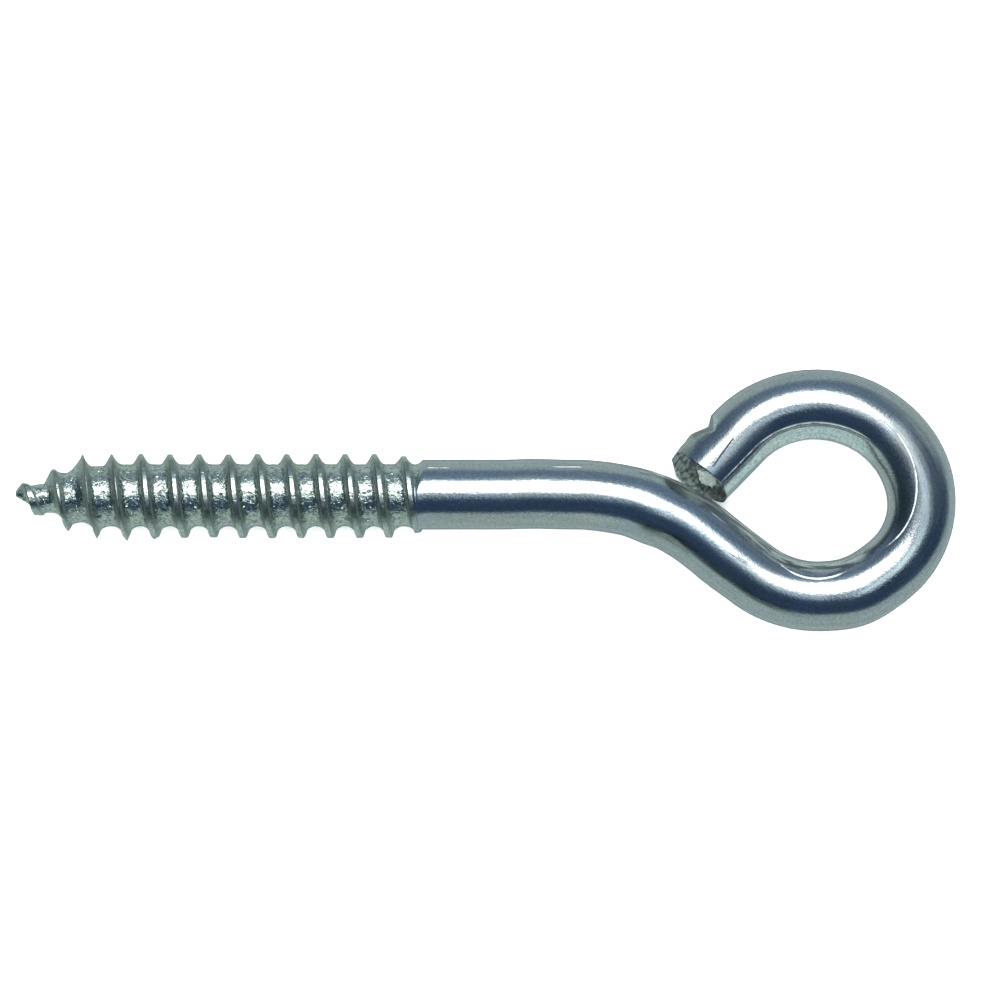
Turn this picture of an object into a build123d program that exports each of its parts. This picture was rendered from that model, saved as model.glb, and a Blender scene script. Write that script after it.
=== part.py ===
from build123d import *
from math import cos, pi, radians, sin, sqrt, tan
import os

# Eye lag bolt, millimetres, +Z up. One length of round wire: a lag thread with a gimlet point is rolled on
# one end, the other end is bent off the line of the shank and turned round into an eye left open at its tip.
# The eye lies in XY, the point is toward -X, and the origin is on the shank's axis at the thread's shoulder.

# Wire and thread
wire_diameter = 8.55
crest_diameter = 10.3
root_diameter = 7.68
thread_length = 49.6  # point to shoulder
thread_pitch = 3.545
crest_flat = 0.56
flank_foot = 2.7  # width of the ridge at its foot, sunk in the core
foot_depth = 0.3  # share of the thread's depth
shoulder_length = 1.3
runout_length = 4.2  # over which the last turn's crest sinks into the wire
sunk_crest = 0.05
sunk_length = 0.5

# Gimlet point
tip_radius = 0.3
core_slope = 0.40
core_cone_length = 7.4
core_blend_length = 11.5
first_crest_radius = 1.02
crest_slope = 0.49
first_crest = 1.03  # from the point to the ridge's first crossing of +Y
start_turn = -0.24
start_height = 0.35
growth_per_turn = 2.7
strips_per_turn = 3

# Shank, bend and eye
plain_length = 18.85
bend_radius = 24.75
bend_angle = 37.6
neck_length = 7.3
eye_side_radius = 13.25
eye_crown_radius = 10.75
throat_angle = 82.0
crown_angle = 80.2
over_angle = 50.0
return_angle = 50.4

# Sheared end of the wire, standing just clear of the bend
end_gap = 1.3
shear_skew = 8.0  # in the plane of the eye
shear_tilt = 18.0  # toward +Z
bevel_setback = 2.6
bevel_angle = 14.0

# Nick in the outside of the eye near that end
nick_setback = 5.2
nick_depth = 1.3
nick_width = 3.2
nick_turn = 12.0  # toward +Z

wire_radius = wire_diameter / 2
crest_radius = crest_diameter / 2
root_radius = root_diameter / 2
thread_depth = crest_radius - root_radius
point_x = -thread_length

# Centreline from the shoulder round and over the eye, then back toward the bend. The return stops end_gap
# short of the wire there, whatever the sizes of the eye.
with BuildLine() as outgoing_path:
    shank = Line((0, 0), (plain_length, 0))
    bend = JernArc(shank @ 1, shank % 1, bend_radius, -bend_angle)
    neck = PolarLine(bend @ 1, neck_length, direction=bend % 1)
    throat = JernArc(neck @ 1, neck % 1, eye_side_radius, throat_angle)
    crown = JernArc(throat @ 1, throat % 1, eye_crown_radius, crown_angle)
    over = JernArc(crown @ 1, crown % 1, eye_side_radius, over_angle)

with BuildLine() as return_path:
    side = JernArc(over @ 1, over % 1, eye_side_radius, return_angle)
    inward = side % 1
    from_bend = (side @ 1) - Vector(plain_length, -bend_radius)
    closing = from_bend.dot(inward)
    stop_radius = bend_radius + wire_radius + end_gap
    tail_length = -closing - sqrt(closing**2 - from_bend.dot(from_bend) + stop_radius**2)
    tail = PolarLine(side @ 1, tail_length, direction=inward)


def core_radius(x):
    """Radius of the cone and core that the thread stands on."""
    return min(root_radius, tip_radius + core_slope * (x - point_x))


def ridge_radius(x):
    """Radius of the thread's crest along the point, the parallel run and the runout at the shoulder."""
    sunk = wire_radius - sunk_crest
    runout = sunk + (crest_radius - sunk) * max(0.0, -x) / runout_length
    return min(crest_radius, first_crest_radius + crest_slope * (x - point_x), runout)


def ridge_point(turn, offset, height):
    """Point on the ridge after so many turns: offset is along X, height is a share of the thread's depth."""
    x = point_x + first_crest + thread_pitch * turn
    growth = min(1.0, start_height + growth_per_turn * (turn - start_turn))
    local_depth = growth * max(ridge_radius(x) - core_radius(x), sunk_crest)
    radius = core_radius(x) + height * local_depth
    x += offset * min(1.0, local_depth / thread_depth)
    return Vector(x, radius * cos(2 * pi * turn), radius * sin(2 * pi * turn))


def ridge_edge(start, end, offset, height):
    """Edge along the ridge between two turns: one cubic, its handles as long as a circle's arc needs."""
    first, last = ridge_point(start, offset, height), ridge_point(end, offset, height)
    step = 0.001
    handle = 2 * tan(pi / 2 * (end - start)) / (3 * pi) / (2 * step)
    leaving = ridge_point(start + step, offset, height) - ridge_point(start - step, offset, height)
    arriving = ridge_point(end + step, offset, height) - ridge_point(end - step, offset, height)
    return Edge.make_bezier(first, first + leaving * handle, last - arriving * handle, last)


# Right-handed ridge of the thread: strips ruled between its long edges, with a flat at each end
ridge_section = (
    (-flank_foot / 2, -foot_depth),
    (-crest_flat / 2, 1.0),
    (crest_flat / 2, 1.0),
    (flank_foot / 2, -foot_depth),
)
end_turn = (thread_length - first_crest + sunk_length) / thread_pitch
strip_count = round((end_turn - start_turn) * strips_per_turn)
strip_ends = [start_turn + (end_turn - start_turn) * i / strip_count for i in range(strip_count + 1)]
skin = []
for turn in (strip_ends[0], strip_ends[-1]):
    corners = [ridge_point(turn, offset, height) for offset, height in ridge_section]
    skin.append(Face(Wire.make_polygon(corners, close=True)))
for start, end in zip(strip_ends, strip_ends[1:]):
    edges = [ridge_edge(start, end, offset, height) for offset, height in ridge_section]
    skin += [Face.make_surface_from_curves(a, b) for a, b in zip(edges, edges[1:] + edges[:1])]
ridge = Solid(Shell(skin))

# Returning side of the eye: sheared aslant, its outer corner drawn down, nicked on the outside
outward = inward.rotate(Axis.Z, -90)
shear_normal = inward.rotate(Axis.Z, shear_skew) + Vector(0, 0, tan(radians(shear_tilt)))
bevel_point = (tail @ 1) - inward * bevel_setback + outward * wire_radius
bevel_normal = outward.rotate(Axis.Z, bevel_angle)
nick_facing = outward * cos(radians(nick_turn)) + Vector(0, 0, sin(radians(nick_turn)))
nick_floor = (tail @ 1) - inward * nick_setback + nick_facing * (wire_radius - nick_depth)
nick_plane = Plane(origin=nick_floor, x_dir=inward, z_dir=inward.cross(nick_facing))
with BuildPart() as returning_side:
    with BuildSketch(Plane(origin=side @ 0, z_dir=side % 0)):
        Circle(wire_radius)
    sweep(path=side)
    with BuildSketch(Plane(origin=side @ 1, z_dir=inward)):
        Circle(wire_radius)
    extrude(amount=tail_length + wire_diameter)
    split(bisect_by=Plane(origin=tail @ 1, z_dir=shear_normal), keep=Keep.BOTTOM)
    split(bisect_by=Plane(origin=bevel_point, z_dir=bevel_normal), keep=Keep.BOTTOM)
    with BuildSketch(nick_plane):
        with BuildLine():
            Polyline((0, 0), (nick_width, 2 * nick_depth), (-nick_width, 2 * nick_depth), close=True)
        make_face()
    extrude(amount=wire_diameter, both=True, mode=Mode.SUBTRACT)

with BuildPart() as eye_lag_bolt:
    with BuildSketch(Plane.XY):
        with BuildLine():
            Polyline(
                (0, 0),
                (point_x, 0),
                (point_x, tip_radius),
                (point_x + core_cone_length, tip_radius + core_slope * core_cone_length),
                (point_x + core_blend_length, root_radius),
                (-shoulder_length, root_radius),
                (0, wire_radius),
                close=True,
            )
        make_face()
    revolve(axis=Axis.X)
    add(ridge)
    with BuildSketch(Plane.YZ):
        Circle(wire_radius)
    sweep(path=outgoing_path.line)
    add(returning_side.part)

eye_lag_bolt.part.label = "eye_lag_bolt"
os.makedirs("parts", exist_ok=True)
export_step(eye_lag_bolt.part, "parts/eye_lag_bolt.step")
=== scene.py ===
import math

import bpy
import numpy as np
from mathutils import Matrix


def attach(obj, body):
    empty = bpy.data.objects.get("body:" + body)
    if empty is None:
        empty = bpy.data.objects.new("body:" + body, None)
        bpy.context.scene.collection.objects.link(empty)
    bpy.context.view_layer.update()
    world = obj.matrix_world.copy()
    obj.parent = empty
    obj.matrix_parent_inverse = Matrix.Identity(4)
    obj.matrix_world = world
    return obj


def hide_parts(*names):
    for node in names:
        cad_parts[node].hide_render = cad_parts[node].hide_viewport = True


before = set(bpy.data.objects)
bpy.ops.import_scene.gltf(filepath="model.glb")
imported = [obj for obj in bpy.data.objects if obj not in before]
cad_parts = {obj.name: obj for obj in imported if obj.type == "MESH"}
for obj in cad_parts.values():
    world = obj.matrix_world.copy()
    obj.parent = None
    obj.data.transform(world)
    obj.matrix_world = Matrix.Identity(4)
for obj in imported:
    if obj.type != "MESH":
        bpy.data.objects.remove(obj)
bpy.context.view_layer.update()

# ---------------------------------------------------------------------------------------------------------
# Driving sizes, millimetres. The frame's origin is on the shank's axis at the shoulder, the point is toward
# -X and the eye lies in XY. Angles round the wire go from its left-hand side, +Y on the shank, toward +Z.
# ---------------------------------------------------------------------------------------------------------
MM = 0.001
NODE = "eye_lag_bolt"

# Wire and thread
WIRE_RADIUS = 4.245
CREST_RADIUS = 5.09
ROOT_RADIUS = 3.84
THREAD_LENGTH = 49.6
PITCH = 3.545
CREST_FLAT = 0.50
LOW_CREST_FLAT = 0.66  # toward -Y, where the dies met
CREST_ROUND = 0.13
# Flanks toward the point and toward the eye: the share of the way from the root's middle to the crest
# where they begin, and how hollow they are
FLANK_FOOT = (0.46, 0.26)
FLANK_POWER = (1.3, 2.1)
TOP_POWER = 6.0  # the same on top, where the ridge is thinner
# Changes toward the point: how far from it their middle is, half length, amount
FIRST_FLANK = (6.4, 3.2, 0.9)  # a wider flank
FIRST_FLAT = (2.7, 1.7, 0.5)  # a wider crest
THIN_CRESTS = (9.5, 7.0, 0.85)  # narrower crests
LOW_ROOT = 0.17  # how much deeper the roots are toward -Y
TERRACE = 0.8  # share of the cone's taper that the threads step over
SHOULDER_LENGTH = 0.75
SHOULDER_LEAD = 0.8  # how much sooner the shoulder comes away from +Y
RUNOUT_LENGTH = 4.2
RUNOUT_RADIUS = 4.42  # where the ridge breaks off
LAST_TURN = 13.58
THREAD_DROP = 0.17  # the thread is rolled this far off the shank's axis, toward -Y
PIT_DEPTH = 0.03
CREST_WAVER = 0.025  # share of the ridge's height

# Where round the wire the crests are darkened with painted shade, on each side of their lit band: (angle,
# half angle, strength)
SHADED_CRESTS = ((40.0, 25.0, 0.85), (116.0, 27.0, 0.9))

# Burrs on the crests: (turns from the first crest, height, lean toward the eye)
BURR_HALF_TURN = 0.035
BURR_HALF_WIDTH = 0.30
BURRS = (
    (1.49, 0.30, 0.18),
    (2.02, 0.16, 0.0),
    (2.50, 0.16, 0.0),
    (3.50, 0.36, 0.10),
    (4.53, 0.30, -0.20),
    (9.48, 0.12, 0.18),
)

# Gimlet point
TIP_ROUND = 0.55  # radius of its blunt end
TIP_RADIUS = 0.3
CORE_SLOPE = 0.40
CORE_CONE_LENGTH = 7.4
CORE_BLEND_LENGTH = 11.5
FIRST_CREST_RADIUS = 1.02
CREST_SLOPE = 0.49
FIRST_CREST = 1.03  # from the point to the ridge's first crossing of +Y
START_TURN = -0.24
START_HEIGHT = 0.35
GROWTH_PER_TURN = 2.7
START_RISE = (START_TURN - 0.12, START_TURN + 0.02)  # turns over which the ridge comes up
END_FALL = (LAST_TURN + 0.06, LAST_TURN - 0.04)  # and over which it breaks off

# Shank, bend and eye
PLAIN_LENGTH = 18.85
BEND_RADIUS = 24.75
BEND_ANGLE = 37.6
NECK_LENGTH = 7.3
EYE_SIDE_RADIUS = 13.25
EYE_CROWN_RADIUS = 10.75
THROAT_ANGLE = 82.0
CROWN_ANGLE = 80.2
RETURN_ANGLE = 100.4

# Sheared end and nick
END_GAP = 1.3
SHEAR_SKEW = 8.0
SHEAR_TILT = 18.0
SHEAR_DRAW = 0.6  # how far the outer edge is drawn back
SHEAR_BURR = (-16.0, 26.0, 0.26, 1.1)  # angle, half angle, height, length
BEVEL_SETBACK = 2.2
BEVEL_ANGLE = 11.0
NICK_SETBACK = 5.45
NICK_DEPTH = 1.17
NICK_FLOOR = 0.12
NICK_SLOPES = (0.90, 0.58)  # before and after it
NICK_TURN = 8.0
NICK_LIP = (2.3, 1.3, 0.17)  # metal pushed up beyond it: middle, half length, height

# Flat pressed on the inside of the returning side
PRESSED_ANGLE = 32.0
PRESSED_HALF = 20.5  # degrees on each side of that angle
PRESSED_START = (77.0, 82.0)  # where it begins and is full
PRESSED_TAPER = (94.5, 101.5)  # where it narrows and has narrowed
PRESSED_NARROWING = 9.5  # degrees on each side

# Where bending left the wire off its line or drawn thin: (middle, half length, shift to the left, swelling)
SWAYS = (
    (13.5, 4.0, 0.09, 0.0),
    (22.5, 4.5, -0.08, 0.0),
    (28.0, 3.0, -0.09, 0.09),
    (39.0, 3.5, -0.06, 0.03),
    (55.5, 4.0, -0.15, 0.07),
    (67.0, 8.0, -0.10, -0.12),
    (85.5, 5.0, 0.0, 0.05),
    (104.0, 8.0, 0.15, -0.03),
)
# Lines that the bending tools left along the wire, each a furrow with a painted white glint along it: (start,
# end, angle at the start, middle and end, strength)
TOOL_LINES = (
    (0.3, 3.0, 40.0, 40.0, 40.0, 0.8),
    (15.6, 19.2, 38.0, 38.0, 38.0, 0.8),
    (34.0, 36.2, 47.0, 48.0, 48.0, 0.4),
    (44.5, 55.2, 47.0, 60.0, 53.0, 0.85),
    (62.6, 80.9, 56.0, 82.6, 99.5, 1.0),
    (80.8, 105.5, 58.0, 57.5, 55.5, 0.5),
)
# The dent that the bending tool left under the bend: middle, half length, angle, half angle, depth
DENT = (32.0, 3.0, 142.0, 20.0, 0.24)
# Scratches along the wire: (start, end, angle at the start, middle and end, strength)
SCRATCHES = (
    (38.6, 41.7, 86.5, 85.2, 83.7, 0.5),
    (39.6, 41.4, 82.5, 81.5, 80.5, 0.35),
    (100.2, 104.7, 94.6, 89.6, 84.0, 1.0),
)
# Dark patches on the wire, streaked along it; the first row is painted shade where the sheared end darkens
# the bend below it: (middle, half length, angle, half angle, strength)
STAINS_AND_SHADE = (
    (31.2, 5.0, 0.0, 18.0, 0.5),
    (31.0, 4.6, 125.0, 15.0, 1.0),
    (33.5, 2.6, 119.0, 11.0, 0.9),
    (41.0, 9.0, 121.0, 10.0, 0.7),
    (93.5, 13.0, 53.5, 5.0, 0.45),
    (102.7, 1.3, 156.0, 36.0, 0.8),
    (105.0, 2.4, 160.0, 44.0, 0.4),
)
# Drawing lines that still show: (middle, half length, angle, half angle, strength)
DRAWN = (
    (35.0, 13.0, 16.0, 34.0, 1.0),
    (49.0, 14.0, 36.0, 26.0, 1.0),
    (104.4, 4.0, 165.0, 50.0, 0.5),
    (71.0, 12.0, 110.0, 60.0, 0.25),
)
# Where the wire rubbed on the mandrel and on its own end: (middle, half length, angle, half angle, strength)
RUBBED = (
    (101.5, 7.0, 77.0, 22.0, 1.0),
    (73.5, 8.5, 104.0, 62.0, 1.0),
    (33.5, 5.5, 22.0, 42.0, 2.6),
)

# The sheared face: millimetres across it toward the inside of the eye, and up from the wire's axis
# The crack and the broken lip are sunk, and darkened with painted shade too
CRACK = (-0.47, 1.43, 0.52)  # across at one height, that height, and its lean for each millimetre up
CRACK_DEPTH = 0.16
PATCH = (0.75, 1.7, 1.45, 2.3)  # the bright patch: middle across and up, half width and half height
LIP = (-2.2, 1.6, 0.6)  # where the outer edge broke away: middle across, half width, depth

# Light: metres, watts and angles
LAMP_TILT = math.radians(25.7)
LAMP_HALF_WIDTH = math.radians(19.3)
LAMP_STRETCH = 1.07  # along X
LAMP_DISTANCE = 1.2
LAMP_POWER = 7.8
FILL_WIDTH = 3.0
FILL_HEIGHT = 1.5
FILL_POWER = 95.0
LIGHTS_X = 0.01
WINDOW = (0.235, -0.075, 0.969)  # direction of a second, dimmer light
WINDOW_EDGES = (math.radians(13.3), math.radians(6.0))  # where it begins and is full

# Camera and floor, metres
PICTURE_WIDTH = 0.121402
PICTURE_MIDDLE = (0.009227, -0.000662)
CAMERA_HEIGHT = 1.0
FLOOR_HALF = 4.0
FLOOR_GAP = 0.00002
EYE_REST_X = 0.060  # where the eye lies on the floor

# Mesh
COLUMNS = 128  # vertices round the wire
WIRE_STEP = 0.42
END_RUN = 9.0  # over which the rings lean into the sheared face
END_RINGS = 38
THREAD_START, THREAD_MARGIN = 0.05, 0.03  # from the point to the first ring, and clear of the rings
HELIX_TURNS = range(-3, 17)  # whole turns of rows, more than fit between those rings
# Rows across one pitch, from the middle of the crest: close at its edges
ROW_OFFSETS = (0.08, 0.15, 0.21, 0.26, 0.31, 0.36, 0.41, 0.47, 0.55, 0.65, 0.77, 0.91, 1.07, 1.26, 1.5)
FACE_RINGS = (0.985, 0.955, *np.arange(0.92, 0.05, -0.045))  # on the sheared face, shares of its rim
FAR = 9.0  # beside any line

POINT_X = -THREAD_LENGTH
THREAD_DEPTH = CREST_RADIUS - ROOT_RADIUS


def smooth_min(a, b, reach):
    """The lower of two heights, rounded over reach where they cross."""
    blend = np.clip(0.5 + 0.5 * (b - a) / reach, 0, 1)
    return b + (a - b) * blend - reach * blend * (1 - blend)


def ease(low, high, value):
    """0 below low, 1 above high, and a smooth step between."""
    t = np.clip((value - low) / (high - low), 0, 1)
    return t * t * (3 - 2 * t)


def hump(middle, half, value):
    """1 at the middle, 0 from half away on, smooth between."""
    return np.clip(1 - ((value - middle) / half) ** 2, 0, None) ** 2


def lowness(angle):
    """0 on the side toward +Y, 1 on the side toward -Y."""
    return 0.5 - 0.5 * np.cos(angle)


def turned(angle, degrees):
    """How far round the wire an angle in radians lies from one in degrees, from -180 to 180."""
    return (np.degrees(angle) - degrees + 180) % 360 - 180


def ripple(seed, *coordinates):
    """Smooth noise between about -1 and 1, a sum of waves of roughly unit length across the coordinates."""
    rng = np.random.RandomState(seed)
    total = 0
    for _ in range(9):
        aim = rng.normal(size=len(coordinates))
        aim *= 2 * math.pi * rng.uniform(0.6, 1.6) / np.linalg.norm(aim)
        total = total + np.sin(sum(a * c for a, c in zip(aim, coordinates)) + rng.uniform(0, 6.28))
    return total / 3


# ---------------------------------------------------------------------------------------------------------
# Centreline
# ---------------------------------------------------------------------------------------------------------
def arc(radius, degrees):
    """An arc of the centreline: its length, and how far it turns to the left, in radians."""
    turn = math.radians(degrees)
    return radius * abs(turn), turn


# The centreline from the shoulder on: (length, turn)
PIECES = (
    (PLAIN_LENGTH, 0.0),
    arc(BEND_RADIUS, -BEND_ANGLE),
    (NECK_LENGTH, 0.0),
    arc(EYE_SIDE_RADIUS, THROAT_ANGLE),
    arc(EYE_CROWN_RADIUS, CROWN_ANGLE),
    arc(EYE_SIDE_RADIUS, RETURN_ANGLE),
)
SIDE_END = sum(length for length, _ in PIECES)
STRAIGHT_ON = (1000.0, 0.0)


def walk(s):
    """Places x, y and headings at distances s along the centreline, which runs on straight at its end."""
    s = np.asarray(s, float)
    x, y, heading = np.zeros_like(s), np.zeros_like(s), np.zeros_like(s)
    at_x = at_y = at_heading = start = 0.0
    for number, (length, turn) in enumerate((*PIECES, STRAIGHT_ON)):
        inside = s >= start if number else np.full(s.shape, True)
        t = s[inside] - start
        if turn:
            curve = turn / length
            x[inside] = at_x + (np.sin(at_heading + curve * t) - math.sin(at_heading)) / curve
            y[inside] = at_y - (np.cos(at_heading + curve * t) - math.cos(at_heading)) / curve
            heading[inside] = at_heading + curve * t
            at_x += (math.sin(at_heading + turn) - math.sin(at_heading)) / curve
            at_y -= (math.cos(at_heading + turn) - math.cos(at_heading)) / curve
        else:
            x[inside] = at_x + math.cos(at_heading) * t
            y[inside] = at_y + math.sin(at_heading) * t
            heading[inside] = at_heading
            at_x += math.cos(at_heading) * length
            at_y += math.sin(at_heading) * length
        at_heading += turn
        start += length
    return x, y, heading


def tail_length():
    """Straight run after the eye, to where its end stands END_GAP clear of the bend's wire."""
    x, y, heading = walk([SIDE_END])
    from_bend = np.array([x[0] - PLAIN_LENGTH, y[0] + BEND_RADIUS])
    closing = from_bend @ np.array([math.cos(heading[0]), math.sin(heading[0])])
    stop_radius = BEND_RADIUS + WIRE_RADIUS + END_GAP
    return -closing - math.sqrt(closing**2 - from_bend @ from_bend + stop_radius**2)


WIRE_END = SIDE_END + tail_length()


# ---------------------------------------------------------------------------------------------------------
# Surface: how far it stands from the centreline
# ---------------------------------------------------------------------------------------------------------
def core_radius(x):
    """Cone and core that the thread stands on, with a blunt tip."""
    rise = ROOT_RADIUS - TIP_RADIUS - CORE_SLOPE * CORE_CONE_LENGTH
    blend = rise / (CORE_BLEND_LENGTH - CORE_CONE_LENGTH)
    beyond = np.maximum(x - POINT_X, 0)
    cone = TIP_RADIUS + CORE_SLOPE * np.minimum(beyond, CORE_CONE_LENGTH)
    cone = cone + blend * np.clip(beyond - CORE_CONE_LENGTH, 0, CORE_BLEND_LENGTH - CORE_CONE_LENGTH)
    depth = np.minimum(beyond, TIP_ROUND)
    cap = np.sqrt(np.maximum(2 * TIP_ROUND * depth - depth**2, 0))
    return np.where(beyond < TIP_ROUND, np.minimum(cone, cap), cone)


def ridge_radius(x):
    """The thread's crest along the point, the parallel run and the runout at the shoulder."""
    runout = RUNOUT_RADIUS + (CREST_RADIUS - RUNOUT_RADIUS) * np.maximum(0, -x) / RUNOUT_LENGTH
    return np.minimum(np.minimum(CREST_RADIUS, FIRST_CREST_RADIUS + CREST_SLOPE * (x - POINT_X)), runout)


def flank_rise(share, angle, toward_point, wide):
    """Height of a flank, 0 to 1, at a share of the way from the root's middle to the crest's edge."""
    low = ease(0.5, 1.0, lowness(angle))
    top = ease(0.55, 0.9, np.sin(angle)) * (1 - wide)
    foot = np.where(toward_point, *FLANK_FOOT) * (1 - wide)
    power = np.where(toward_point, *FLANK_POWER)
    rounded = 1 - np.sqrt(np.clip(1 - share**2, 0, 1)) + 3 * np.maximum(share - 1, 0)
    hollow = np.maximum((share - foot) / (1 - foot), 0) ** power
    side = hollow * (1 - low) + rounded * low
    return side + (np.maximum(share, 0) ** TOP_POWER - side) * top


def ridge_growth(turn):
    """How far the ridge has grown from its start, until it breaks off at its end, 0 to 1."""
    grown = np.clip(START_HEIGHT + GROWTH_PER_TURN * (turn - START_TURN), 0, 1)
    return grown * ease(*START_RISE, turn) * ease(*END_FALL, turn)


def root_radius(x, angle, phase, grown):
    """The core between the ridges: stepped on the cone, pitted all over and deeper toward -Y."""
    root_x = POINT_X + FIRST_CREST + PITCH * (np.floor(phase) + 0.5 + angle / (2 * math.pi))
    core = core_radius(x)
    core = core + (core_radius(root_x) - core) * TERRACE * grown * ease(0.6, 1.6, core)
    pits = ripple(5, x / 0.9, 4 * np.cos(angle), 4 * np.sin(angle)) * 0.5
    pits = pits + ripple(6, x / 0.42, 9 * np.cos(angle), 9 * np.sin(angle)) * 0.5
    return core + (PIT_DEPTH * pits - LOW_ROOT * lowness(angle)) * np.clip(core / ROOT_RADIUS, 0.2, 1)


def near_point(change, x):
    """How much of a change toward the point there is at x."""
    middle, half, amount = change
    return amount * hump(POINT_X + middle, half, x)


def burrs(turn, beside):
    """Height of the burrs at that turn of the ridge and that far from its crest toward the eye."""
    total = 0
    for middle, height, lean in BURRS:
        total = total + height * (hump(middle, BURR_HALF_TURN, turn) * hump(lean, BURR_HALF_WIDTH, beside))
    return total


def crest_shade(angle, aside, toward_point, grown, crest):
    """Painted shade: a dark line along the crest's edge toward the point, and crests darkened on each side of
    their lit band.
    """
    dirt_and_shade = hump(0.0, 0.11, aside) * toward_point * ease(0.1, 0.6, np.abs(np.sin(angle))) * grown
    for middle, half, strength in SHADED_CRESTS:
        dirt_and_shade = np.maximum(dirt_and_shade, strength * crest * hump(middle, half, np.degrees(angle)))
    return dirt_and_shade


def shoulder_rise(x, angle):
    """How far the core has come up to the full wire, 0 to 1."""
    lead = SHOULDER_LEAD * ease(0, 1, 1 - np.cos(angle))
    return ease(-SHOULDER_LENGTH, 0, x + lead)


def thread_radius(x, angle):
    """Radius of the threaded length, how pitted its metal is, its flanks and crests, and the painted shade on
    its crests.
    """
    around = angle / (2 * math.pi)
    phase = (x - POINT_X - FIRST_CREST) / PITCH - around
    turn = np.round(phase) + around
    crest_x = POINT_X + FIRST_CREST + PITCH * turn
    aside = np.abs(phase - np.round(phase)) * PITCH
    toward_point = phase < np.round(phase)

    grown = ridge_growth(turn)
    core = root_radius(x, angle, phase, grown)
    depth = grown * np.maximum(ridge_radius(crest_x) - core, 0)
    depth = depth * (1 + CREST_WAVER * ripple(11, turn * 1.7, np.zeros_like(turn)))
    flat = CREST_FLAT + (LOW_CREST_FLAT - CREST_FLAT) * lowness(angle)
    flat = flat * (1 - near_point(THIN_CRESTS, x)) * (1 + near_point(FIRST_FLAT, x))
    share = (PITCH / 2 - aside) / (PITCH / 2 - flat / 2)
    rise = flank_rise(share, angle, toward_point, near_point(FIRST_FLANK, x) * toward_point)
    height = smooth_min(depth, depth * rise, CREST_ROUND * depth / THREAD_DEPTH + 1e-6)
    radius = core + height + burrs(turn, x - crest_x)

    flank = ease(0.08, 0.5, rise * grown)
    crest = ease(0.75, 0.97, rise * grown)
    # Painted shade on the crests, carried in the stain layer
    dirt_and_shade = crest_shade(angle, aside - (flat / 2 + 0.04), toward_point, grown, crest)
    whole = shoulder_rise(x, angle)
    radius = np.maximum(radius, radius + (WIRE_RADIUS - radius) * whole)
    return radius, *((1 - whole) * layer for layer in (1 - 0.6 * flank, flank, crest, dirt_and_shade))


def bent(s, angle):
    """Radius of the bent wire: drawn thin or off its line here and there, and dented under the bend."""
    radius = np.full(np.broadcast(s, angle).shape, WIRE_RADIUS)
    for middle, half, shift, swelling in SWAYS:
        radius = radius + hump(middle, half, s) * (swelling + shift * np.cos(angle))
    middle, half, turn, half_turn, depth = DENT
    reach = ((s - middle) / half) ** 2 + ((np.degrees(angle) - turn) / half_turn) ** 2
    return radius - depth * ease(1.0, 0.45, reach)


def pressed_half(s):
    """Degrees that the pressed flat spans on each side of its middle."""
    return PRESSED_HALF - PRESSED_NARROWING * ease(*PRESSED_TAPER, s)


def pressed(radius, s, angle):
    """That radius with the flat pressed on the inside of the returning side."""
    flat = WIRE_RADIUS * np.cos(np.radians(pressed_half(s)))
    flat = flat / np.maximum(np.cos(angle - math.radians(PRESSED_ANGLE)), 1e-3)
    return radius + (smooth_min(radius, flat, 0.03) - radius) * ease(*PRESSED_START, s)


def sheared(radius, s, angle):
    """That radius with the burr that the shears left, and the end's outer corner drawn down."""
    back = s - WIRE_END
    turn, half, height, length = SHEAR_BURR
    radius = radius + height * hump(turn, half, turned(angle, 0)) * ease(-length, 0, back)
    outward = np.maximum(-np.cos(angle), 1e-3)
    bevel = (WIRE_RADIUS - np.tan(math.radians(BEVEL_ANGLE)) * (back + BEVEL_SETBACK)) / outward
    return smooth_min(radius, np.maximum(bevel, 0.2), 0.12)


def nicked(radius, s, angle):
    """That radius with the nick in the outside of the eye, and the metal that it pushed up."""
    facing = np.maximum(np.cos(angle - math.radians(180 - NICK_TURN)), 1e-3)
    beside = s - WIRE_END + NICK_SETBACK
    slope = np.where(beside < 0, *NICK_SLOPES)
    wall = slope * np.maximum(np.abs(beside) - NICK_FLOOR, 0)
    nick = (WIRE_RADIUS - NICK_DEPTH + wall) / facing
    middle, half, height = NICK_LIP
    radius = radius + height * hump(middle, half, beside) * facing**4
    return smooth_min(radius, nick, 0.08)


def wire_radius(s, angle):
    """Radius of the wire from the shoulder to the sheared end."""
    radius = bent(s, angle)
    for change in (pressed, sheared, nicked):
        radius = change(radius, s, angle)
    return radius


def end_setback(angle, radius):
    """How far short of the wire's end the sheared face stands."""
    skew, tilt = math.radians(SHEAR_SKEW), math.radians(SHEAR_TILT)
    aslant = radius * np.cos(angle) * math.sin(skew) + radius * np.sin(angle) * math.tan(tilt)
    return aslant / math.cos(skew) + SHEAR_DRAW * ease(1.4, 3.6, -radius * np.cos(angle))


def nearest_line(rows, s, angle):
    """How far a point is beside the nearest of some lines, in millimetres, and that line's strength."""
    s, angle = np.broadcast_arrays(s, angle)
    aside, strength = np.full(s.shape, FAR), np.zeros(s.shape)
    for start, end, first, middle, last, force in rows:
        t = (s - start) / (end - start)
        bow = 4 * (middle - (first + last) / 2)
        turn = first + (last - first) * t + bow * t * (1 - t)
        gap = np.radians(turned(angle, turn)) * WIRE_RADIUS
        here = (t > -0.2) & (t < 1.2) & (np.abs(gap) < np.abs(aside))
        aside = np.where(here, gap, aside)
        ends = ease(-0.05, 0.12, t) * ease(1.05, 0.88, t)
        strength = np.where(here, force * ends * ease(0.6, 0.35, np.abs(gap)), strength)
    return aside, strength


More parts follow.
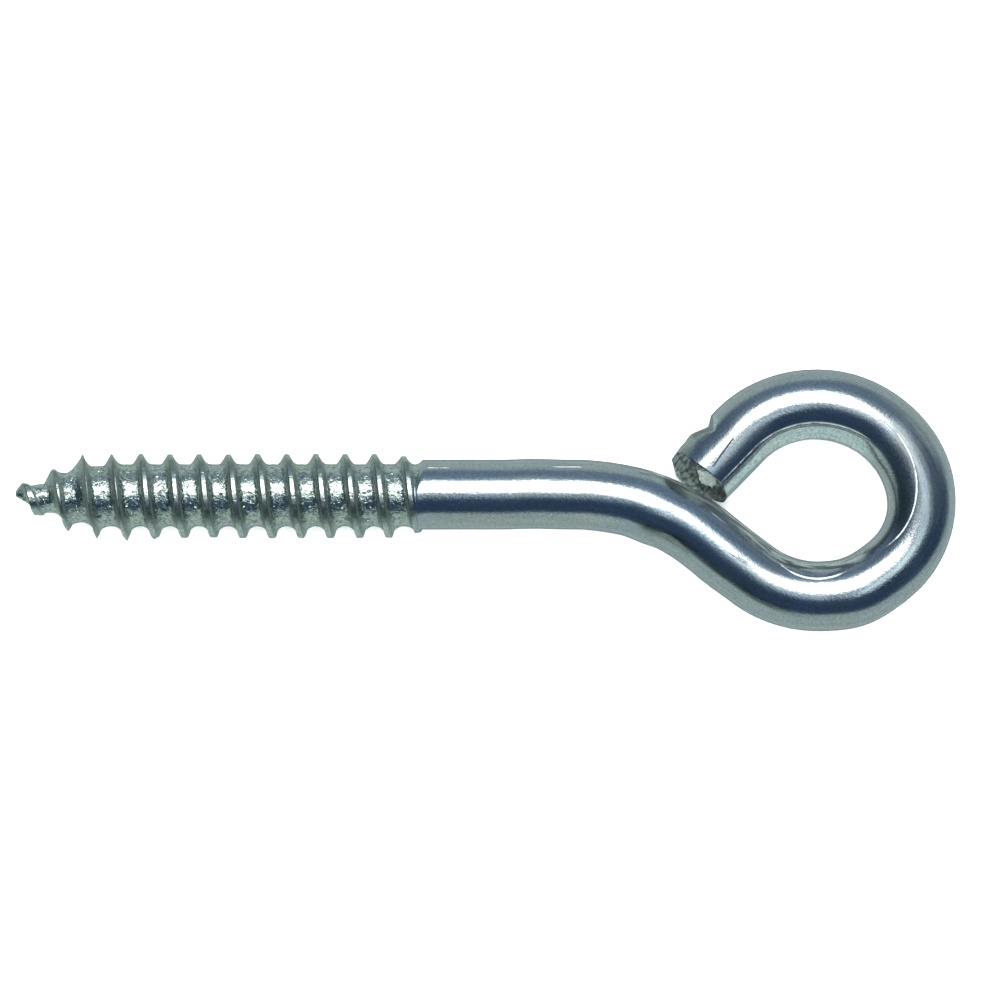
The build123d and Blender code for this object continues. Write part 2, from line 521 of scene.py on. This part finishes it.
def patches(rows, s, angle):
    """How strong the strongest of some patches on the wire is at a point, 0 to 1."""
    total = np.zeros(np.broadcast(s, angle).shape)
    for middle, half, turn, half_turn, strength in rows:
        along = ease(1.0, 0.6, np.abs(s - middle) / half)
        total = np.maximum(total, strength * along * hump(0.0, half_turn, turned(angle, turn)))
    return total


def bared(s, angle):
    """Where the plate is rubbed bright: the pressed flat and the wall of the nick away from the end."""
    aside = np.abs(np.degrees(angle) - PRESSED_ANGLE)
    flat = ease(0, -3, aside - pressed_half(s)) * ease(*PRESSED_START, s)
    beside = s - WIRE_END + NICK_SETBACK
    aside = np.abs(np.degrees(angle) - (180 - NICK_TURN))
    wall = ease(-1.5, -1.2, beside) * ease(-0.05, -0.25, beside) * ease(44, 38, aside)
    return np.maximum(0.65 * flat, 0.35 * wall)


# ---------------------------------------------------------------------------------------------------------
# Mesh
# ---------------------------------------------------------------------------------------------------------
# What the material reads at each vertex. For the nearest tool line (aside, line) and the nearest scratch
# (beside, scratch) that is how far off and how strong it is. Along, across and up are the wire unbent.
# The stain layer darkens the plate both with dirt and with painted shade.
LAYERS = (
    "pitted", "flank", "crest", "aside", "line", "beside", "scratch", "rubbed", "stain", "drawn", "torn",
    "bare", "along", "across", "up",
)


class Skin:
    """Vertices and faces of the bolt's one closed surface, with the values of LAYERS at each vertex."""

    def __init__(self):
        self.places, self.layers, self.faces = [], [], []

    def add(self, x, y, z, pitted=0.0, flank=0.0, crest=0.0, stain=0.0, **layers):
        """Adds vertices with their values in LAYERS and returns their numbers."""
        first = len(self.places)
        values = {"aside": FAR, "beside": FAR, "pitted": pitted, "flank": flank, "crest": crest}
        values.update(layers, stain=stain)
        columns = [x, y, z] + [values.get(name, 0.0) for name in LAYERS]
        for row in zip(*(np.broadcast_to(column, np.shape(x)).ravel() for column in columns)):
            self.places.append(row[:3])
            self.layers.append(row[3:])
        return list(range(first, len(self.places)))

    def band(self, low, high):
        """Joins two closed rings of vertices."""
        for j in range(COLUMNS):
            k = (j + 1) % COLUMNS
            self.faces.append((low[j], low[k], high[k], high[j]))

    def fan(self, ring, centre, forward):
        """Closes a ring to one vertex."""
        for j in range(COLUMNS):
            k = (j + 1) % COLUMNS
            self.faces.append((ring[j], ring[k], centre) if forward else (ring[k], ring[j], centre))


def column_angles():
    """Angles round the wire at which its vertices lie."""
    return np.arange(COLUMNS) * 2 * math.pi / COLUMNS


def thread_place(x, angle):
    """Place of a point on the threaded length, and what thread_radius tells of its metal."""
    radius, *metal = thread_radius(x, angle)
    drop = THREAD_DROP * ease(POINT_X, POINT_X + 1.5, x) * (1 - ease(-1.2, 0, x))
    return x, radius * np.cos(angle) - drop, radius * np.sin(angle), *metal


def row_offsets():
    """Where the grid's rows lie across one pitch, from the middle of the crest."""
    return [-offset for offset in reversed(ROW_OFFSETS)] + [0.0, *ROW_OFFSETS, PITCH / 2]


def thread_rows(j):
    """The grid's rows in column j of the threaded length, as (number, x). They follow the helix."""
    offsets = row_offsets()
    rows = []
    for turn in HELIX_TURNS:
        for m, offset in enumerate(offsets):
            x = POINT_X + FIRST_CREST + PITCH * (turn + j / COLUMNS) + offset
            if POINT_X + THREAD_START + THREAD_MARGIN < x < -THREAD_MARGIN:
                rows.append((turn * len(offsets) + m, x))
    return rows


def thread_skin(skin):
    """The threaded length between a ring at the point and one at the shoulder. Returns both rings."""
    angles = column_angles()
    per_turn = len(row_offsets())
    point_ring = skin.add(*thread_place(np.full(COLUMNS, POINT_X + THREAD_START), angles))
    shoulder_ring = skin.add(*thread_place(np.zeros(COLUMNS), angles))
    columns = [thread_rows(j) for j in range(COLUMNS + 1)]
    numbers = {}
    for j in range(COLUMNS):
        x = np.array([row[1] for row in columns[j]])
        made = skin.add(*thread_place(x, np.full(len(x), angles[j])))
        for (row, _), number in zip(columns[j], made):
            numbers[row, j] = number
    for row, _ in columns[COLUMNS]:
        numbers[row, COLUMNS] = numbers[row + per_turn, 0]

    def rungs(j):
        """Rows and vertices of column j, from ring to ring."""
        inner = [(row, numbers[row, j]) for row, _ in columns[j]]
        return [(-math.inf, point_ring[j % COLUMNS])] + inner + [(math.inf, shoulder_ring[j % COLUMNS])]

    for j in range(COLUMNS):
        ladder(skin, rungs(j), rungs(j + 1))
    return point_ring, shoulder_ring


def ladder(skin, left, right):
    """Joins two neighbouring columns: quads between rows that both have, triangles where one has more."""
    p = q = 0
    while p < len(left) - 1 or q < len(right) - 1:
        up_left = left[p + 1] if p < len(left) - 1 else None
        up_right = right[q + 1] if q < len(right) - 1 else None
        here = (left[p][1], right[q][1])
        if up_left and up_right and up_left[0] == up_right[0]:
            skin.faces.append((*here, up_right[1], up_left[1]))
            p, q = p + 1, q + 1
        elif up_right is None or (up_left is not None and up_left[0] < up_right[0]):
            skin.faces.append((*here, up_left[1]))
            p += 1
        else:
            skin.faces.append((*here, up_right[1]))
            q += 1


def wire_place(s, angle, radius):
    """Place of a point at that distance along the centreline, angle and radius round it."""
    x, y, heading = walk(s)
    side = radius * np.cos(angle)
    return x - side * np.sin(heading), y + side * np.cos(heading), radius * np.sin(angle)


def wire_layers(s, angles, radius):
    """What the material reads on the wire: its lines, scratches, wear, stains and painted shade, and where on
    it this is.
    """
    aside, line = nearest_line(TOOL_LINES, s, angles)
    beside, scratch = nearest_line(SCRATCHES, s, angles)
    return {
        "aside": aside,
        "line": line,
        "beside": beside,
        "scratch": scratch,
        "rubbed": patches(RUBBED, s, angles),
        "stain": patches(STAINS_AND_SHADE, s, angles),
        "drawn": patches(DRAWN, s, angles),
        "bare": bared(s, angles),
        "along": s,
        "across": radius * np.cos(angles),
        "up": radius * np.sin(angles),
    }


def wire_ring(skin, ring, s, angles):
    """Adds one ring round the wire, joined to the ring before it."""
    radius = wire_radius(s, angles)
    made = skin.add(*wire_place(s, angles, radius), **wire_layers(s, angles, radius))
    skin.band(ring, made)
    return made


def wire_skin(skin, ring):
    """The plain shank, bend and eye from the shoulder's ring to the sheared end. Returns the last ring."""
    angles = column_angles()
    run = WIRE_END - END_RUN
    for s in np.linspace(0, run, round(run / WIRE_STEP) + 1)[1:]:
        ring = wire_ring(skin, ring, np.full(COLUMNS, s), angles)
    setback = end_setback(angles, wire_radius(WIRE_END, angles))
    for i in range(1, END_RINGS + 1):
        share = i / END_RINGS
        s = run + (WIRE_END - setback - run) * share
        s = s + setback * (1 - ease(0.35, 1.0, share)) * share
        ring = wire_ring(skin, ring, s, angles)
    return ring


def end_relief(across, up):
    """The broken face of the sheared end: how far it is sunk, its painted shade and its bright patch of fresh
    metal. The shade is painted in the crack, under the broken lip and over the face outside the bright patch,
    darker lower down.
    """
    crack_across, crack_up, lean = CRACK
    inward = across - (crack_across - lean * (up - crack_up))
    outer = ease(0.12, -0.12, inward)
    crack = hump(0.0, 0.22, inward) * ease(2.6, 1.8, up)
    lip_across, lip_half, lip_depth = LIP
    lip = hump(lip_across, lip_half, across) * ease(-0.75, -0.45, np.hypot(across, up) - WIRE_RADIUS)
    lip = lip * ease(0.5, 1.5, up)
    torn = 0.07 * ripple(21, across / 1.8, up / 1.5) + 0.03 * ripple(22, across / 0.8, up / 0.7)
    sunk = torn + CRACK_DEPTH * crack + lip_depth * lip

    middle_across, middle_up, half_width, half_height = PATCH
    patch = ((across - middle_across) / half_width) ** 2 + ((up - middle_up) / half_height) ** 2
    patch = patch + 0.18 * ripple(24, across / 0.9, up / 0.9)
    bright = ease(1.1, 0.8, patch) * (1 - outer)
    beyond = (1 - outer) * (1 - bright)
    # Painted shade: in the crack, under the broken lip and outside the bright patch, darker lower down
    painted_shade = 0.20 * outer + 0.5 * beyond * (1 - 0.6 * ease(0.8, 2.2, up)) + crack
    painted_shade = painted_shade * ease(-4.2, -2.0, up)
    painted_shade = np.maximum(painted_shade, 1.4 * lip) * ease(-4.1, -3.6, across)
    return sunk, np.clip(painted_shade, 0, 1), bright


def end_skin(skin, ring):
    """The sheared face: rings from its rim to its middle, broken by the shears, with its painted shade in the
    stain layer.
    """
    angles = column_angles()
    rim = wire_radius(WIRE_END - end_setback(angles, WIRE_RADIUS), angles)
    for share in FACE_RINGS:
        radius = rim * share
        across, up = radius * np.cos(angles), radius * np.sin(angles)
        sunk, painted_shade, bright = end_relief(across, up)
        sunk = 0.08 * ease(1.0, 0.93, share) + sunk * ease(1.0, 0.88, share)
        made = skin.add(
            *wire_place(WIRE_END - end_setback(angles, radius) - sunk, angles, radius),
            stain=painted_shade,
            torn=1.0,
            bare=bright,
            drawn=0.9 * (1 - bright),
            along=WIRE_END,
            across=across,
            up=up * 0.2,
        )
        skin.band(ring, made)
        ring = made
    x, y, z = wire_place(np.array([WIRE_END - 0.1]), np.zeros(1), np.zeros(1))
    # The face's middle is darkened with painted shade as well
    middle = skin.add(x, y, z, stain=0.4, torn=1.0, along=WIRE_END)
    skin.fan(ring, middle[0], True)


def bolt_mesh():
    """The whole bolt as one closed mesh."""
    skin = Skin()
    tip_ring, shoulder_ring = thread_skin(skin)
    tip = skin.add(np.array([POINT_X]), np.zeros(1), np.zeros(1), 0.5, 0.5)
    skin.fan(tip_ring, tip[0], False)
    end_skin(skin, wire_skin(skin, shoulder_ring))
    mesh = bpy.data.meshes.new(NODE + "_skin")
    mesh.from_pydata([tuple(c * MM for c in place) for place in skin.places], [], skin.faces)
    mesh.validate()
    for name, values in zip(LAYERS, np.array(skin.layers, np.float32).T):
        layer = mesh.attributes.new(name, "FLOAT", "POINT")
        layer.data.foreach_set("value", np.ascontiguousarray(values))
    mesh.polygons.foreach_set("use_smooth", [True] * len(mesh.polygons))
    return mesh


# ---------------------------------------------------------------------------------------------------------
# Material
# ---------------------------------------------------------------------------------------------------------
class Graph:
    """Short hand for building a node tree. Every method but node returns an output socket."""

    def __init__(self, tree):
        self.tree = tree
        tree.nodes.clear()

    def node(self, kind, inputs=None, **settings):
        """Adds a node. An input is a value or another node's output."""
        made = self.tree.nodes.new(kind)
        for name, value in settings.items():
            setattr(made, name, value)
        for name, value in (inputs or {}).items():
            if isinstance(value, bpy.types.NodeSocket):
                self.tree.links.new(value, made.inputs[name])
            else:
                made.inputs[name].default_value = value
        return made

    def math(self, operation, first, second=0.0):
        """Arithmetic on one or two values."""
        return self.node("ShaderNodeMath", {0: first, 1: second}, operation=operation).outputs[0]

    def noise(self, vector, scale, detail=3.0, roughness=0.55):
        """Noise from about 0.2 to 0.8."""
        inputs = {"Vector": vector, "Scale": scale, "Detail": detail, "Roughness": roughness}
        return self.node("ShaderNodeTexNoise", inputs).outputs["Fac"]

    def spread(self, value, low, high, to_low=0.0, to_high=1.0):
        """A value spread from one range over another, and held at its ends."""
        inputs = {"Value": value, "From Min": low, "From Max": high, "To Min": to_low, "To Max": to_high}
        return self.node("ShaderNodeMapRange", inputs).outputs[0]

    def mix(self, share, first, second, blend="MIX"):
        """One colour turning into another, or multiplied by it."""
        inputs = {0: share, 6: first, 7: second}
        return self.node("ShaderNodeMix", inputs, data_type="RGBA", blend_type=blend).outputs[2]


# Colours of the plate, in pairs where it is mottled
CLEAN = ((0.375, 0.415, 0.425, 1), (0.415, 0.43, 0.405, 1))
ROOT = ((0.23, 0.275, 0.22, 1), (0.51, 0.56, 0.48, 1))
FLANK = ((0.38, 0.43, 0.38, 1), (0.57, 0.62, 0.55, 1))
DRAWING_LINES = ((0.07, 0.095, 0.085, 1), (0.56, 0.62, 0.58, 1))
FRESH = ((0.50, 0.60, 0.53, 1), (0.84, 0.93, 0.86, 1))
# Dark of dirt, and of painted shade
DIRT_AND_SHADE = (0.05, 0.075, 0.042, 1)
IN_SCRATCH = (0.04, 0.045, 0.045, 1)
# Near white of the tool lines' painted glint
GLINT_WHITE = (0.88, 0.93, 0.89, 1)


def zinc_colour(graph, place, straight, layer):
    """Plate colour: clean on the wire, duller on the flanks, mottled in the roots, darkened in the marks by
    dirt and by painted shade, and painted near white along the tool lines as a glint.
    """
    pits = graph.noise(place, 2600.0, roughness=0.6)
    clean = graph.mix(graph.spread(graph.noise(place, 160.0), 0.35, 0.65), *CLEAN)
    colour = graph.mix(layer["pitted"], clean, graph.mix(graph.spread(pits, 0.34, 0.54), *ROOT))
    flank = graph.mix(graph.spread(pits, 0.35, 0.6), *FLANK)
    colour = graph.mix(graph.math("MULTIPLY", layer["flank"], 0.85), colour, flank)

    streaks = graph.noise(straight, 2.2, detail=2.0)
    line = graph.mix(graph.spread(streaks, 0.44, 0.56), *DRAWING_LINES)
    colour = graph.mix(graph.math("MULTIPLY", layer["drawn"], 0.8), colour, line)
    # Dirt and painted shade: streaked along the wire, solid on the sheared face
    dirt_and_shade = graph.math("MULTIPLY", layer["stain"], graph.spread(streaks, 0.35, 0.60, 1.0, 0.45))
    dirt_and_shade = graph.math("MAXIMUM", dirt_and_shade, graph.math("MULTIPLY", layer["stain"], layer["torn"]))
    colour = graph.mix(dirt_and_shade, colour, DIRT_AND_SHADE)
    colour = graph.mix(layer["bare"], colour, graph.mix(graph.spread(pits, 0.35, 0.55), *FRESH))
    colour = graph.mix(scratched(graph, layer), colour, IN_SCRATCH)
    # Painted glint: the tool lines are painted near white
    colour = graph.mix(glint_line(graph, place, layer), colour, GLINT_WHITE)
    return speckled(graph, place, straight, colour)


def glint_line(graph, place, layer):
    """How white the tool line is painted, 0 to 1: a painted glint along the furrow that a tool left, which
    comes and goes along its length.
    """
    gap = graph.math("ABSOLUTE", layer["aside"])
    white = graph.spread(graph.noise(place, 700.0), 0.40, 0.52, 0.35, 0.85)
    return graph.math("MULTIPLY", graph.spread(gap, 0.13, 0.04, 0.0, white), layer["line"])


def scratched(graph, layer):
    """How deep in a scratch a point is, 0 to 1."""
    gap = graph.math("ABSOLUTE", layer["beside"])
    return graph.math("MULTIPLY", graph.spread(gap, 0.10, 0.04, 0.0, 0.95), layer["scratch"])


def speckled(graph, place, straight, colour):
    """The colour with the plate's fine crystals on it, and the wire's faint drawing lines."""
    speck = graph.noise(place, 3300.0, detail=2.0)
    faint = graph.spread(graph.noise(straight, 1.3, detail=2.0), 0.3, 0.7, 0.91, 1.09)
    shade = graph.math("MULTIPLY", graph.spread(speck, 0.32, 0.68, 0.88, 1.11), faint)
    grey = graph.node("ShaderNodeCombineColor", {0: shade, 1: shade, 2: shade}).outputs[0]
    return graph.mix(1.0, colour, grey, blend="MULTIPLY")


def zinc_relief(graph, place, straight, layer):
    """Bumps, each on the one before: the plate's grain, drawing lines, furrows, scratches and pits."""
    grain = graph.noise(place, 4600.0, detail=1.0)
    drawn = graph.noise(straight, 2.2, detail=2.0)
    gap = graph.math("ABSOLUTE", layer["aside"])
    furrow = graph.math("MULTIPLY", graph.spread(gap, 0.17, 0.0, 0.0, -1.0), layer["line"])
    groove = graph.math("MULTIPLY", scratched(graph, layer), -1.0)
    pits = graph.noise(place, 2600.0, detail=2.0, roughness=0.6)
    holes = graph.spread(graph.noise(place, 1700.0, detail=1.0), 0.60, 0.72, 1.0, 0.0)
    normal = None
    for height, strength, distance in (
        (grain, 0.45, 0.000028),
        (drawn, layer["drawn"], 0.000040),
        (furrow, 1.0, 0.000045),
        (groove, 1.0, 0.000025),
        (pits, layer["pitted"], 0.000085),
        (holes, layer["pitted"], 0.000095),
        (pits, layer["torn"], 0.000080),
    ):
        inputs = {"Height": height, "Strength": strength, "Distance": distance}
        if normal is not None:
            inputs["Normal"] = normal
        normal = graph.node("ShaderNodeBump", inputs).outputs[0]
    return normal


# How much rougher the metal is where each of these is full
ROUGHENED = {
    "rubbed": 0.13,
    "pitted": 0.06,
    "flank": 0.42,
    "crest": -0.33,
    "drawn": 0.16,
    "torn": 0.2,
    "stain": 0.1,
}


def roughness(graph, place, layer, line_glint):
    """Fine satin on clean plate, and rougher or smoother where ROUGHENED says."""
    rough = graph.spread(graph.noise(place, 3600.0, detail=2.0), 0.3, 0.7, 0.13, 0.22)
    for name, share in ROUGHENED.items():
        rough = graph.math("ADD", rough, graph.math("MULTIPLY", layer[name], share))
    return graph.math("ADD", rough, graph.math("MULTIPLY", line_glint, 0.35))


def powder(graph, layer, line_glint):
    """Share of loose, dull zinc: on the torn patch, on the tool lines where their glint is painted, and on
    the drawing lines.
    """
    share = graph.math("MULTIPLY", graph.math("MULTIPLY", layer["bare"], layer["torn"]), 0.4)
    share = graph.math("MAXIMUM", share, graph.math("MULTIPLY", line_glint, 0.65))
    return graph.math("MAXIMUM", share, graph.spread(layer["drawn"], 0.4, 1.0, 0.0, 0.14))


def zinc_plate():
    """Bright zinc plate: finely grained on the wire, pitted and duller on the thread and the sheared end."""
    material = bpy.data.materials.new("zinc_plate")
    material.use_nodes = True
    graph = Graph(material.node_tree)
    place = graph.node("ShaderNodeTexCoord").outputs["Object"]
    layer = {name: graph.node("ShaderNodeAttribute", attribute_name=name).outputs["Fac"] for name in LAYERS}
    slow = graph.math("MULTIPLY", layer["along"], 0.12)
    straight = graph.node("ShaderNodeCombineXYZ", {0: slow, 1: layer["across"], 2: layer["up"]}).outputs[0]
    # The tool lines' painted glint
    line_glint = glint_line(graph, place, layer)
    shader = graph.node("ShaderNodeBsdfPrincipled", {
        "Base Color": zinc_colour(graph, place, straight, layer),
        "Metallic": graph.math("SUBTRACT", 1.0, powder(graph, layer, line_glint)),
        "Roughness": roughness(graph, place, layer, line_glint),
        "Normal": zinc_relief(graph, place, straight, layer),
    })
    graph.node("ShaderNodeOutputMaterial", {"Surface": shader.outputs[0]})
    return material


def floor_paper():
    """Plain pale paper."""
    material = bpy.data.materials.new("pale_paper")
    material.use_nodes = True
    graph = Graph(material.node_tree)
    shader = graph.node("ShaderNodeBsdfPrincipled", {"Base Color": (0.9, 0.9, 0.9, 1), "Roughness": 0.9})
    graph.node("ShaderNodeOutputMaterial", {"Surface": shader.outputs[0]})
    return material


# ---------------------------------------------------------------------------------------------------------
# Pieces, floor, lights and camera
# ---------------------------------------------------------------------------------------------------------
def placed(name, data):
    """A new object in the scene."""
    piece = bpy.data.objects.new(name, data)
    bpy.context.scene.collection.objects.link(piece)
    return piece


def bolt():
    """The one visible piece, on the part's only body."""
    piece = placed("eye_lag_bolt_zinc", bolt_mesh())
    piece.data.materials.append(zinc_plate())
    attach(piece, "root")
    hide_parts(NODE)


def floor():
    """A pale floor that the bolt rests on: the last full crest at one end, the eye at the other."""
    crest_x = -RUNOUT_LENGTH * MM
    slope = (CREST_RADIUS - WIRE_RADIUS) * MM / (EYE_REST_X - crest_x)
    corners = []
    for x, y in ((-1, -1), (1, -1), (1, 1), (-1, 1)):
        z = -CREST_RADIUS * MM - FLOOR_GAP + slope * (x * FLOOR_HALF - crest_x)
        corners.append((x * FLOOR_HALF, y * FLOOR_HALF, z))
    mesh = bpy.data.meshes.new("floor")
    mesh.from_pydata(corners, [], [(0, 1, 2, 3)])
    mesh.materials.append(floor_paper())
    piece = placed("floor", mesh)
    piece.visible_glossy = False


def soft_light(name, width, energy, tilt, distance, stretch=1.0):
    """A round or oval soft light overhead, tilted toward +Y and aimed at the bolt."""
    light = bpy.data.lights.new(name, "AREA")
    light.shape = "ELLIPSE"
    light.size, light.size_y = width * stretch, width
    light.energy = energy
    made = placed(name, light)
    made.location = (LIGHTS_X, distance * math.sin(tilt), distance * math.cos(tilt))
    made.rotation_euler = (-tilt, 0, 0)
    made.visible_camera = False
    return made


def lights():
    """A lamp as wide as the band of light that it leaves on the wire, and a wide fill for the floor."""
    width = 2 * LAMP_DISTANCE * math.tan(LAMP_HALF_WIDTH)
    soft_light("lamp", width, LAMP_POWER, LAMP_TILT, LAMP_DISTANCE, LAMP_STRETCH)
    fill = soft_light("fill", FILL_WIDTH, FILL_POWER, 0.0, FILL_HEIGHT)
    fill.visible_glossy = False


# Colours of the studio, as the metal reflects it
DIM, PALE = (0.048, 0.092, 0.175, 1), (0.24, 0.34, 0.49, 1)  # toward -Y and toward +Y
SHADED = (0.028, 0.055, 0.060, 1)  # toward -X
GLOW = (0.46, 0.56, 0.60, 1)  # low down between +X and +Y
HALO = (0.60, 0.84, 1.08, 1)  # round the lamp
WINDOW_LIGHT = (1.50, 1.85, 2.10, 1)
WALL = (0.58, 0.72, 0.745, 1)  # pale, low down toward -Y and +X
BELOW = (0.10, 0.13, 0.14, 1)


def nearness(graph, direction, toward, edge, full):
    """How near a direction is to another, 0 to 1, between two cosines of the angle from it."""
    cosine = graph.node("ShaderNodeVectorMath", {0: direction, 1: toward}, operation="DOT_PRODUCT").outputs[1]
    return graph.spread(cosine, edge, full)


def above_wall(graph, x, y, z):
    """How far a direction passes above the top of the pale wall."""
    near = graph.math("SUBTRACT", graph.math("MULTIPLY", y, -0.62), 0.12)
    top = graph.math("MAXIMUM", near, graph.math("MULTIPLY", y, 0.02))
    top = graph.math("SUBTRACT", top, graph.spread(x, 0.0, 1.0, 0.0, 0.2))
    return graph.math("SUBTRACT", z, top)


def surroundings():
    """A dim blue studio: paler toward +Y and round the lamp, lit beside it, with a pale wall toward -Y."""
    world = bpy.data.worlds.new("studio")
    bpy.context.scene.world = world
    world.use_nodes = True
    graph = Graph(world.node_tree)
    direction = graph.node("ShaderNodeTexCoord").outputs["Generated"]
    x, y, z = graph.node("ShaderNodeSeparateXYZ", {0: direction}).outputs

    colour = graph.mix(graph.spread(y, 0.25, 0.85), DIM, PALE)
    shade = graph.spread(x, -0.2, -0.9, 0.0, 0.85)
    shade = graph.math("MULTIPLY", shade, graph.spread(y, 0.2, 0.6, 1.0, 0.25))
    colour = graph.mix(shade, colour, SHADED)
    glow = graph.math("MULTIPLY", graph.spread(x, 0.45, 0.80), graph.spread(y, 0.15, 0.45))
    glow = graph.math("MULTIPLY", glow, graph.spread(z, 0.50, 0.10))
    colour = graph.mix(glow, colour, GLOW)

    lamp = (0.0, math.sin(LAMP_TILT), math.cos(LAMP_TILT))
    halo = graph.math("POWER", nearness(graph, direction, lamp, 0.70, 0.94), 2.0)
    colour = graph.mix(graph.math("MULTIPLY", halo, 0.6), colour, HALO)
    edges = [math.cos(edge) for edge in WINDOW_EDGES]
    colour = graph.mix(nearness(graph, direction, WINDOW, *edges), colour, WINDOW_LIGHT)

    colour = graph.mix(graph.spread(above_wall(graph, x, y, z), 0.10, -0.08), colour, WALL)
    colour = graph.mix(graph.spread(z, -0.80, -0.96, 0.0, 0.75), colour, BELOW)
    background = graph.node("ShaderNodeBackground", {"Color": colour, "Strength": 1.0})
    graph.node("ShaderNodeOutputWorld", {"Surface": background.outputs[0]})


def camera():
    """Straight above the middle of the picture, upright along +Y, with a long lens."""
    data = bpy.data.cameras.new("camera")
    data.sensor_width = 36.0
    data.lens = data.sensor_width * CAMERA_HEIGHT / PICTURE_WIDTH
    data.clip_end = 10.0
    view = placed("camera", data)
    view.location = (*PICTURE_MIDDLE, CAMERA_HEIGHT)
    bpy.context.scene.camera = view


bolt()
floor()
lights()
surroundings()
camera()
bpy.context.scene.view_settings.view_transform = "Standard"
